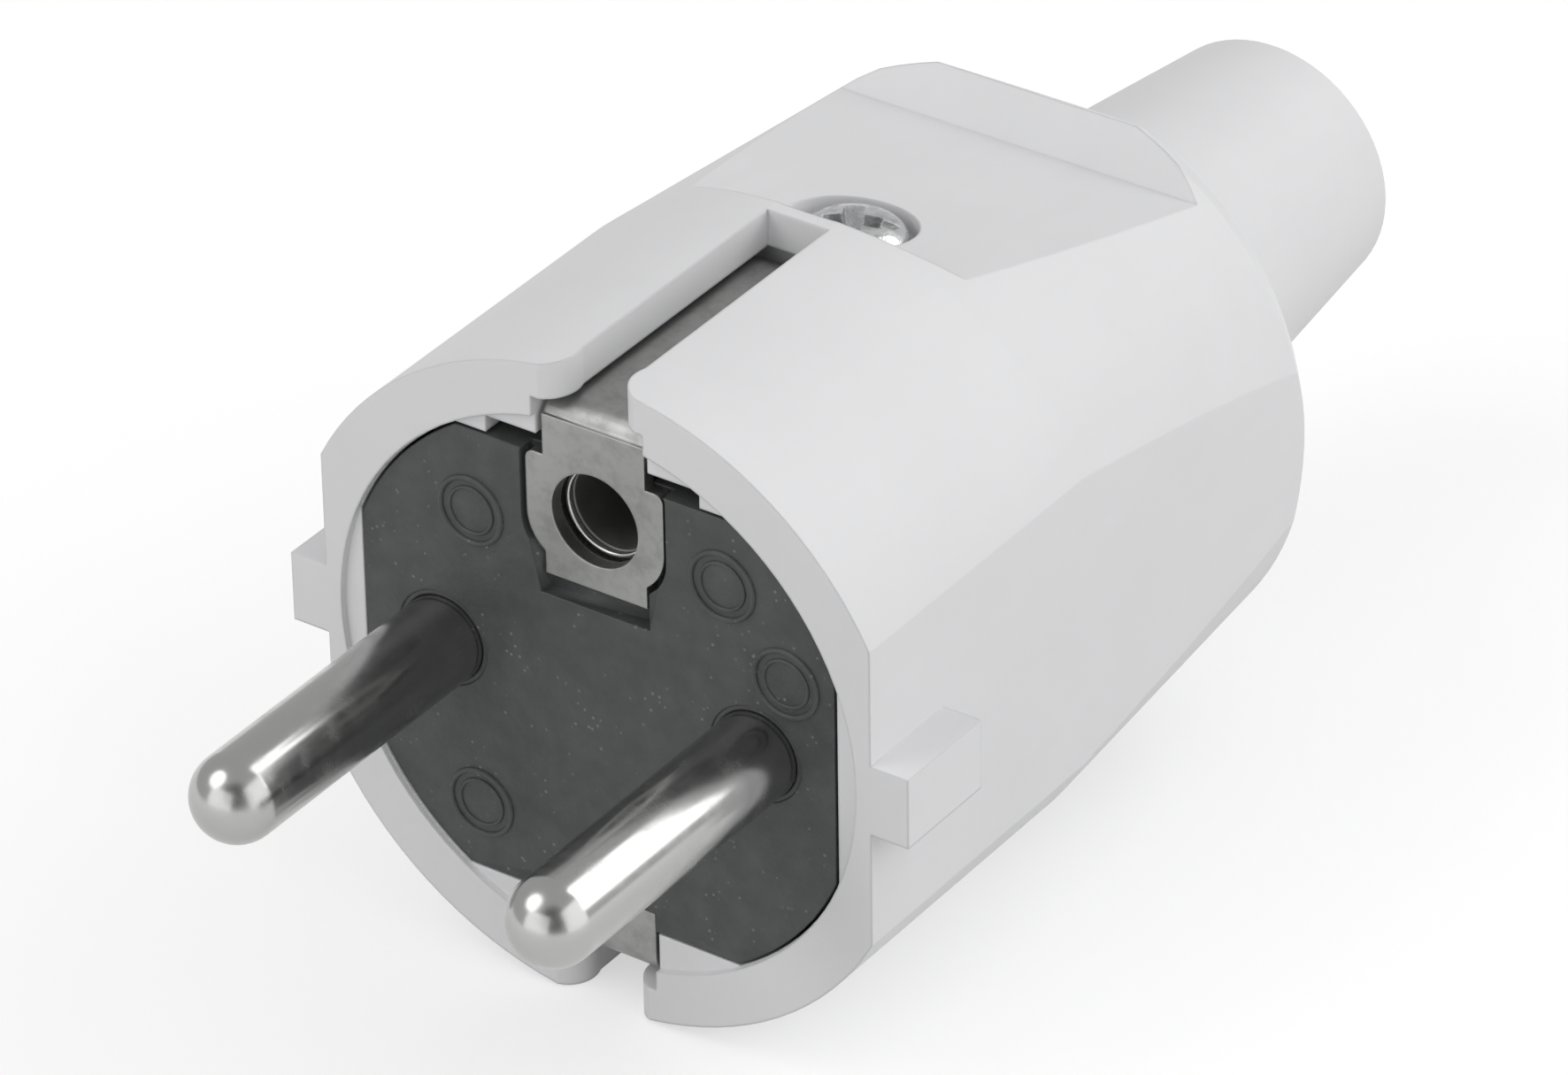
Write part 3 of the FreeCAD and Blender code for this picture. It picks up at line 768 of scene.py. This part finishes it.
@dataclass
class Housing:
    """Grey barrel with the nut of its screw."""

    rim_radius: float = 18.6
    draft_start: float = 19.0
    draft_deg: float = 4.3
    dome_radius: float = 20.25
    dome_centre: float = 28.2
    neck_end_radius: float = 7.4
    neck_draft_deg: float = 6.0
    neck_chamfer_start: float = 62.9
    panel_front: float = 19.0
    panel_rear: float = 38.0
    panel_height: float = 16.8
    panel_draft_deg: float = 10.8
    crest_y: float = 39.9
    crest_height: float = 14.7
    roof_draft_deg: float = 26.6
    seen_crest_height: float = 15.35
    seen_roof_draft_deg: float = 33.4
    roof_reach: float = 0.006
    outline_reach: float = 0.012

    def radius(self, y: np.ndarray) -> np.ndarray:
        """Outline of barrel, dome and neck.

        The barrel is straight, then narrows by its draft. The dome is a ball's outline,
        r squared = R squared less (y - centre) squared, and takes over where it is
        narrower than the barrel. The neck takes over where it is wider than the dome, and
        ends in a chamfer.

        Args:
            y: places along the axis.

        Returns:
            The radius at each place.
        """
        barrel = self.rim_radius - np.maximum(y - self.draft_start, 0) * climb(self.draft_deg)
        square = self.dome_radius ** 2 - (y - self.dome_centre) ** 2
        dome = np.where(y < self.dome_centre, self.rim_radius, np.sqrt(np.maximum(square, 0)))
        ahead = self.neck_chamfer_start - y
        neck = self.neck_end_radius + np.maximum(ahead, 0) * climb(self.neck_draft_deg)
        return np.maximum(np.minimum(barrel, dome), neck) + np.minimum(ahead, 0)

    def roof(self, y: np.ndarray, height: float, draft_deg: float) -> np.ndarray:
        """Height of the ramp up to the crest and of the roof that falls behind it.

        Args:
            y: places along the axis.
            height: the crest's height.
            draft_deg: slope of the roof.

        Returns:
            The height at each place.
        """
        fall = (self.panel_rear - self.panel_front) * climb(self.panel_draft_deg)
        foot = self.panel_height - fall
        ramp = foot + (y - self.panel_rear) / (self.crest_y - self.panel_rear) * (height - foot)
        return np.where(y < self.crest_y, ramp, height - (y - self.crest_y) * climb(draft_deg))

    def crowned(self, points: np.ndarray) -> np.ndarray:
        """Raises the crest a little, as the photographed plug has it.

        Points on ramp and roof go to the steeper pair of planes. Those that are also on the
        turned outline stay on it: x becomes the root of r squared less z squared.

        Args:
            points: the housing's points.

        Returns:
            The moved points.
        """
        x, y, z = points.T
        roof = self.roof(y, self.crest_height, self.roof_draft_deg)
        on_roof = np.abs(np.abs(z) - roof) < self.roof_reach
        on_roof &= (y > self.panel_rear - NEAR) & (y < self.dome_centre + self.dome_radius)
        radius = self.radius(y)
        on_outline = np.abs(np.hypot(x, z) - radius) < self.outline_reach
        height = np.minimum(self.roof(y, self.seen_crest_height, self.seen_roof_draft_deg), radius)
        half = np.sqrt(np.maximum(radius ** 2 - height ** 2, 0))
        moved_x = np.where(on_roof & on_outline, np.sign(x) * half, x)
        moved_z = np.where(on_roof, np.sign(z) * height, z)
        return np.column_stack([moved_x, y, moved_z])

    def build(self, dresser: Dresser) -> None:
        """Builds the housing and its screw's nut.

        Args:
            dresser: gives them their finishes.
        """
        shell = RefinedNode("housing", "HousingShell")
        shell.outline = TurnedOutline(self.radius)
        shell.reshape = self.crowned
        shell.dress(dresser, HOUSING_GREY)
        RefinedNode("housing_screw_nut", "HousingScrewNut").dress(dresser, SCREW_ZINC)


@dataclass
class HousingScrew:
    """Pan-head screw in the panel's recess, with a cross and a driver slot."""

    y: float = 22.9
    seat: float = 14.3
    head_radius: float = 2.95
    head_height: float = 1.95
    crown_start: float = 0.75
    head_chamfer: float = 0.1
    shank_radius: float = 1.7
    shank_chamfer: float = 0.3
    tip: float = 5.8
    turn_deg: float = 27.0
    cross_width: float = 1.15
    cross_reach: float = 1.65
    cross_depth: float = 1.25
    cross_taper: float = 0.72
    slot_width: float = 0.62
    slot_depth: float = 0.55
    slot_share: float = 0.93
    slot_taper: float = 0.92
    crown_steps: int = 20
    segments: int = 72

    def profile(self) -> np.ndarray:
        """Outline of shank and head as (height, radius) rows.

        Above the crown's start the side bends over as a quarter ellipse: with t from 0 to a
        quarter turn, radius = R cos t and the height rises with sin t.

        Returns:
            The rows, from the shank's tip to the head's middle.
        """
        t = np.linspace(0, math.pi / 2, self.crown_steps)
        low = self.seat + self.crown_start
        height = low + (self.seat + self.head_height - low) * np.sin(t)
        crown = np.column_stack([height, self.head_radius * np.maximum(np.cos(t), 0)])
        foot = np.array([
            [self.tip, 0.0],
            [self.tip, self.shank_radius - self.shank_chamfer],
            [self.tip + self.shank_chamfer, self.shank_radius],
            [self.seat, self.shank_radius],
            [self.seat, self.head_radius - self.head_chamfer],
            [self.seat + self.head_chamfer, self.head_radius],
        ])
        return np.vstack([foot, crown])

    def cutter(
        self, name: str, half: tuple[float, float], depth: float, turn_deg: float, taper: float
    ) -> bpy.types.Object:
        """Wedge that cuts one arm pair of the recess: a box narrower at its floor.

        Args:
            name: the wedge's name.
            half: half length and half width at the head's top.
            depth: depth below the head's top.
            turn_deg: its turn about the screw's axis.
            taper: share of length and width left at the floor.

        Returns:
            The wedge.
        """
        sign = np.array([[-1, -1], [1, -1], [1, 1], [-1, 1]], dtype=float)
        top = self.seat + self.head_height
        above = np.column_stack([sign * half * (2 - taper), np.full(4, top + depth)])
        below = np.column_stack([sign * half * taper, np.full(4, top - depth)])
        points = np.vstack([below, above])
        turn = math.radians(turn_deg)
        spin = np.array([[math.cos(turn), -math.sin(turn)], [math.sin(turn), math.cos(turn)]])
        points[:, :2] = points[:, :2] @ spin.T + (0, self.y)
        faces = [[0, 3, 2, 1], [4, 5, 6, 7], [0, 1, 5, 4], [1, 2, 6, 5], [2, 3, 7, 6], [3, 0, 4, 7]]
        return mesh_object(name, points * MM, faces)

    def build(self, dresser: Dresser) -> None:
        """Builds the head and shank as one turned piece and cuts the recess.

        Args:
            dresser: gives it its finish.
        """
        profile = self.profile()
        turn = np.linspace(0, 2 * math.pi, self.segments, endpoint=False)
        x = profile[:, 1:] * np.cos(turn)
        y = self.y + profile[:, 1:] * np.sin(turn)
        z = np.repeat(profile[:, :1], len(turn), axis=1)
        points = np.stack([x, y, z], axis=-1).reshape(-1, 3) * MM
        head = mesh_object("HousingScrew", points, ring_faces(len(profile), len(turn)))
        turned = self.turn_deg
        cross = (self.cross_reach, self.cross_width / 2)
        slot = (self.head_radius * self.slot_share, self.slot_width / 2)
        wedges = [
            self.cutter("ScrewCrossA", cross, self.cross_depth, turned, self.cross_taper),
            self.cutter("ScrewCrossB", cross, self.cross_depth, turned + 90, self.cross_taper),
            self.cutter("ScrewSlot", slot, self.slot_depth, turned, self.slot_taper),
        ]
        carve(head, wedges)
        smooth(head, 24.0)
        dresser.dress(head, SCREW_ZINC, "housing_screw")


@dataclass
class ContactCarrier:
    """Dark moulding that holds the contacts, with plain raised rings on its face."""

    face_y: float = 0.3
    ring_radius: float = 1.85
    ring_width: float = 0.3
    ring_height: float = 0.17
    inner_share: float = 0.7
    sunk_angle: float = 0.35
    bead_steps: int = 9
    segments: int = 64
    ring_centres: tuple[tuple[float, float], ...] = (
        (-7.46, 8.24), (7.69, 9.15), (11.37, 4.8), (-7.46, -9.15),
    )

    def ring(self, index: int, x: float, z: float) -> bpy.types.Object:
        """Two raised rings about one centre: low half-round beads, the inner one lower.

        A bead's section is y = face - height sin a, r = radius - width/2 cos a, for a from
        0 to a half turn, and both ends sink slightly under the face.

        Args:
            index: number for its name.
            x: centre in X.
            z: centre in Z.

        Returns:
            The rings as one piece.
        """
        angle = np.linspace(-self.sunk_angle, math.pi + self.sunk_angle, self.bead_steps)
        clouds: list[np.ndarray] = []
        faces: list[list[int]] = []
        for share in (1.0, self.inner_share):
            y = self.face_y - self.ring_height * share * np.sin(angle)
            radius = self.ring_radius * share - self.ring_width / 2 * share * np.cos(angle)
            profile = np.column_stack([y, radius])
            start = sum(len(cloud) for cloud in clouds)
            profile = np.vstack([profile, profile[:1]])
            clouds.append(lathe_points(profile, self.segments, x, z))
            faces += (ring_faces(len(profile), self.segments) + start).tolist()
        made = mesh_object(f"MouldedRing{index}", np.vstack(clouds), faces)
        smooth(made, 60.0)
        return made

    def build(self, dresser: Dresser) -> None:
        """Builds the carrier, its rings and the cord clamp.

        Args:
            dresser: gives them their finishes.
        """
        RefinedNode("contact_carrier", "ContactCarrier").dress(dresser, CARRIER_DARK)
        for index, (x, z) in enumerate(self.ring_centres, start=1):
            dresser.dress(self.ring(index, x, z), CARRIER_DARK)
        RefinedNode("cord_clamp_saddle", "CordClampSaddle").dress(dresser, CARRIER_DARK)
        for side in ("left", "right"):
            screw = RefinedNode(f"{side}_clamp_screw", f"ClampScrew_{side}")
            screw.dress(dresser, SCREW_ZINC)


@dataclass
class ContactPins:
    """Two plated pins with their collars and terminal screws."""

    spacing: float = 19.0
    pin_radius: float = 2.4
    tip_centre: float = -16.6
    seat_start: float = 0.4
    seat_drop: float = 0.9
    collar_front: float = 0.34
    collar_radius: float = 2.69
    collar_gap: float = 0.012
    collar_edge: float = 0.06
    collar_clear: float = 0.05
    segments: int = 72
    facet_deg: float = 26.0

    def radius(self, y: np.ndarray) -> np.ndarray:
        """Outline of a pin: a ball's outline ahead of the tip's centre, straight behind it."""
        ahead = np.minimum(y - self.tip_centre, 0)
        return np.sqrt(np.maximum(self.pin_radius ** 2 - ahead ** 2, 0))

    def lowered(self, points: np.ndarray) -> np.ndarray:
        """Sets the step of the pin's seat deeper in its hole, out of sight.

        Args:
            points: a pin's points.

        Returns:
            The moved points.
        """
        moved = points.copy()
        on_seat = np.abs(points[:, 1] - self.seat_start) < NEAR
        moved[:, 1] += np.where(on_seat, self.seat_drop, 0)
        return moved

    def collar(self, name: str, x: float) -> bpy.types.Object:
        """Ring of the moulding that closes up to the pin, with its inner edge broken.

        Args:
            name: the ring's name.
            x: the pin's axis.

        Returns:
            The ring.
        """
        inner = self.pin_radius + self.collar_gap
        front, edge = self.collar_front, self.collar_edge
        rear = self.seat_start + self.seat_drop - self.collar_clear
        outline = np.array([
            [rear, inner], [front + edge, inner], [front, inner + edge],
            [front, self.collar_radius], [rear, self.collar_radius], [rear, inner],
        ])
        points = lathe_points(outline, self.segments, x, 0.0)
        made = mesh_object(name, points, ring_faces(len(outline), self.segments))
        smooth(made, 30.0)
        return made

    def build(self, dresser: Dresser) -> None:
        """Builds both pins, their collars and their screws.

        Args:
            dresser: gives them their finishes.
        """
        for side, sign in (("left", -1), ("right", 1)):
            x = sign * self.spacing / 2
            pin = RefinedNode(f"{side}_pin", f"Pin_{side}")
            pin.outline = TurnedOutline(self.radius, axis_x=x, facet_deg=self.facet_deg)
            pin.reshape = self.lowered
            pin.dress(dresser, PIN_NICKEL)
            dresser.dress(self.collar(f"PinCollar_{side}", x), CARRIER_DARK)
            screw = RefinedNode(f"{side}_terminal_screw", f"TerminalScrew_{side}")
            screw.dress(dresser, SCREW_ZINC)


@dataclass
class EarthContact:
    """Stamped earth strip, its sleeve, terminal and screw."""

    socket_z: float = 10.1
    front: float = 1.25
    flange_radius: float = 3.7
    flange_thick: float = 0.5
    tube_radius: float = 3.0
    bore_radius: float = 2.35
    length: float = 15.6
    groove_floor: float = 2.1
    groove_inner: float = 2.58
    groove_outer: float = 2.86
    groove_draft: float = 0.04
    groove_tilt: float = 0.05
    bead: float = 0.115
    bead_front: float = 1.58
    second_bead: float = 0.092
    second_behind: float = 0.42
    second_rise: float = 0.09
    bore_behind: float = 0.5
    bead_start: float = 0.15
    bead_steps: int = 12
    segments: int = 96

    def sleeve_outline(self) -> np.ndarray:
        """Closed (y, radius) outline of the sleeve's wall.

        Its mouth is rolled: inside a round groove stands a bead, and a smaller one behind it.
        A bead's section is y = centre - radius sin a, r = centre + radius cos a, for a from
        the groove's side over its front to the bore's side.

        Returns:
            The rows, with the first repeated at the end.
        """
        turn = np.linspace(self.bead_start, math.pi, self.bead_steps)
        centre_r = self.groove_inner - self.bead
        centre_y = self.bead_front + self.bead
        section = np.column_stack([-np.sin(turn), np.cos(turn)])
        first = section * self.bead + (centre_y, centre_r)
        second_centre = (centre_y + self.second_behind, self.bore_radius + self.second_rise)
        second = section * self.second_bead + second_centre
        rear = self.front + self.length
        step = self.front + self.flange_thick
        before = np.array([
            [step, self.flange_radius],
            [self.front, self.flange_radius],
            [self.front, self.groove_outer],
            [self.groove_floor, self.groove_outer - self.groove_draft],
            [self.groove_floor + self.groove_tilt, self.groove_inner],
        ])
        after = np.array([
            [centre_y + self.bore_behind, self.bore_radius], [rear, self.bore_radius],
            [rear, self.tube_radius], [step, self.tube_radius], [step, self.flange_radius],
        ])
        return np.vstack([before, first, second, after])

    def sleeve(self) -> bpy.types.Object:
        """Turns the sleeve about the earth socket's axis.

        Returns:
            The sleeve.
        """
        outline = self.sleeve_outline()
        points = lathe_points(outline, self.segments, 0.0, self.socket_z)
        faces = ring_faces(len(outline), self.segments)
        made = mesh_object("EarthSleeve", points, faces)
        smooth(made, 30.0)
        return made

    def build(self, dresser: Dresser) -> None:
        """Builds the pieces of the earth contact.

        Args:
            dresser: gives them their finishes.
        """
        RefinedNode("earth_bracket", "EarthStrip", sharp=26.0).dress(dresser, STRIP_NICKEL)
        dresser.dress(self.sleeve(), SLEEVE_NICKEL, "earth_socket_sleeve")
        RefinedNode("earth_terminal", "EarthTerminal").dress(dresser, TERMINAL_BRASS)
        RefinedNode("earth_terminal_screw", "EarthTerminalScrew").dress(dresser, SCREW_ZINC)


# Studio


@dataclass(frozen=True)
class PhotoCamera:
    """Camera at the photograph's viewing angle, from a fit on the plug's own points.

    The origin of the frame falls on a given pixel of a 1772 by 1215 picture.
    """

    azimuth: float = 35.050
    elevation: float = 32.468
    roll: float = -0.906
    focal_px: float = 10243.75
    distance: float = 448.38
    origin_px: tuple[float, float] = (671.605, 789.168)
    picture: tuple[int, int] = (1772, 1215)
    sensor: float = 36.0

    def build(self) -> None:
        """Makes the camera and the scene's active camera of it."""
        angles = (self.azimuth, self.elevation, self.roll)
        azimuth, elevation, roll = (math.radians(angle) for angle in angles)
        back = Vector((
            math.sin(azimuth) * math.cos(elevation),
            -math.cos(azimuth) * math.cos(elevation),
            math.sin(elevation),
        ))
        right = (-back).cross(Vector((0, 0, 1))).normalized()
        up = right.cross(-back)
        right, up = (
            right * math.cos(roll) + up * math.sin(roll),
            up * math.cos(roll) - right * math.sin(roll),
        )
        across = (self.origin_px[0] - self.picture[0] / 2) / self.focal_px
        above = (self.picture[1] / 2 - self.origin_px[1]) / self.focal_px
        to_origin = (right * across + up * above - back).normalized()
        data = bpy.data.cameras.new("PhotoCamera")
        data.sensor_width = self.sensor
        data.lens = self.focal_px / self.picture[0] * self.sensor
        data.clip_start = 0.01
        data.clip_end = 20.0
        camera = bpy.data.objects.new("PhotoCamera", data)
        turn = Matrix((right, up, back)).transposed().to_4x4()
        camera.matrix_world = Matrix.Translation(-to_origin * self.distance * MM) @ turn
        bpy.context.scene.collection.objects.link(camera)
        bpy.context.scene.camera = camera


@dataclass(frozen=True)
class Softbox:
    """Area lamp that looks at the plug, with its length laid along a direction."""

    name: str
    direction: tuple[float, float, float]
    distance: float
    length: float
    width: float
    level: float
    along: tuple[float, float, float] = (0.0, 0.0, 1.0)
    shape: LampShape = LampShape.RECTANGLE

    def build(self) -> None:
        """Makes the lamp, with power for the given share of a plain white's full level.

        A small lamp of power P at distance d gives a white surface that faces it the level
        P / (pi squared times d squared).
        """
        data = bpy.data.lights.new(self.name, "AREA")
        data.shape = self.shape.value
        data.size = self.length
        data.size_y = self.width
        data.energy = self.level * math.pi ** 2 * self.distance ** 2
        lamp = bpy.data.objects.new(self.name, data)
        away = Vector(self.direction).normalized()
        side = Vector(self.along)
        side = (side - away * side.dot(away)).normalized()
        turn = Matrix((side, away.cross(side), away)).transposed().to_4x4()
        lamp.matrix_world = Matrix.Translation(away * self.distance) @ turn
        bpy.context.scene.collection.objects.link(lamp)


@dataclass(frozen=True)
class Studio:
    """Plain pale floor, pale surroundings and soft lamps."""

    ambient: float = 0.445
    shine: float = 0.57
    dark_side: tuple[float, float, float] = (0.48, -0.69, 0.54)
    dark_shine: float = 0.16
    dark_start: float = 0.78
    dark_full: float = 0.95
    floor_colour: Colour = (0.56, 0.56, 0.56)
    floor_lift: float = 0.52
    # Glow of the floor seen in reflections near the plug, lowered as painted shade.
    shaded_floor_shine: float = 0.42
    floor_half: float = 3.0
    floor_gap: float = 0.02
    near_floor: float = 0.04
    far_floor: float = 0.14
    lamps: tuple[Softbox, ...] = (
        Softbox(
            "RearSoftbox", (0.45, 0.69, 0.56), distance=0.7, length=0.62, width=0.3, level=0.295,
            along=(0.6, 0.0, -0.57),
        ),
        Softbox(
            "FrontSoftbox", (-0.49, -0.44, 0.75), distance=0.6, length=0.4, width=0.4, level=0.23,
            shape=LampShape.ELLIPSE,
        ),
        Softbox("SideSoftbox", (0.92, 0.08, 0.38), distance=0.8, length=0.9, width=0.9, level=0.4),
        Softbox("FillSoftbox", (-0.1, -0.96, 0.2), distance=0.9, length=1.0, width=1.0, level=0.37),
    )

    def world(self) -> None:
        """Even surroundings: a plain level of light, white where the camera sees them.

        What shines sees them dimmer, and darkest on the side that the viewer stands on.
        """
        world = bpy.data.worlds.new("Surroundings")
        bpy.context.scene.world = world
        book = NodeBook(world)
        direction = book.signal("ShaderNodeTexCoord", output="Generated")
        camera, glossy = book.rays()
        dark = book.along(direction, self.dark_side).above(self.dark_start, self.dark_full)
        shine = self.shine - dark * (self.shine - self.dark_shine)
        level = camera + glossy * shine + (1 - camera.largest(glossy)) * self.ambient
        light = {"Color": rgba((1, 1, 1)), "Strength": level}
        background = book.node("ShaderNodeBackground", None, light)
        book.node("ShaderNodeOutputWorld", None, {"Surface": background.outputs[0]})

    def floor(self, height: float) -> None:
        """Large pale floor just under the plug.

        Args:
            height: where the plug's lowest point is, in metres.
        """
        half = self.floor_half
        across = np.array([[-half, -half], [half, -half], [half, half], [-half, half]])
        points = np.column_stack([across, np.full(4, height - self.floor_gap * MM)])
        made = mesh_object("Floor", points, [[0, 1, 2, 3]])
        material = bpy.data.materials.new("PaleFloor")
        book = NodeBook(material)
        matt = book.node("ShaderNodeBsdfDiffuse", None, {"Color": rgba(self.floor_colour)})
        camera, glossy = book.rays()
        place = book.place()
        measure = {"operation": "LENGTH"}
        distance = book.signal("ShaderNodeVectorMath", measure, {0: place}, "Value")
        # Painted shade: reflections see the floor's glow dimmer near the plug and full further out.
        far = distance.above(self.near_floor, self.far_floor)
        shine = self.shaded_floor_shine + far * (self.floor_lift - self.shaded_floor_shine)
        lift = camera * self.floor_lift + glossy * shine
        glow = book.node("ShaderNodeEmission", None, {"Color": rgba((1, 1, 1)), "Strength": lift})
        joined = book.node("ShaderNodeAddShader", None, {0: matt.outputs[0], 1: glow.outputs[0]})
        book.node("ShaderNodeOutputMaterial", None, {"Surface": joined.outputs[0]})
        made.data.materials.append(material)
        made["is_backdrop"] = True

    def build(self, floor_height: float) -> None:
        """Builds floor, surroundings and lamps.

        Args:
            floor_height: where the plug's lowest point is, in metres.
        """
        self.world()
        self.floor(floor_height)
        for lamp in self.lamps:
            lamp.build()


def main() -> None:
    """Builds and dresses the plug, its camera and its studio."""
    logging.basicConfig(level=logging.INFO, format="%(name)s: %(message)s")
    solid_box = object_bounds()
    dresser = Dresser()
    for assembly in (Housing(), HousingScrew(), ContactCarrier(), ContactPins(), EarthContact()):
        assembly.build(dresser)
    PhotoCamera().build()
    Studio().build(solid_box[0].z)
    scene = bpy.context.scene
    scene.view_settings.view_transform = "Standard"
    bpy.context.view_layer.update()


if __name__ == "__main__":
    main()
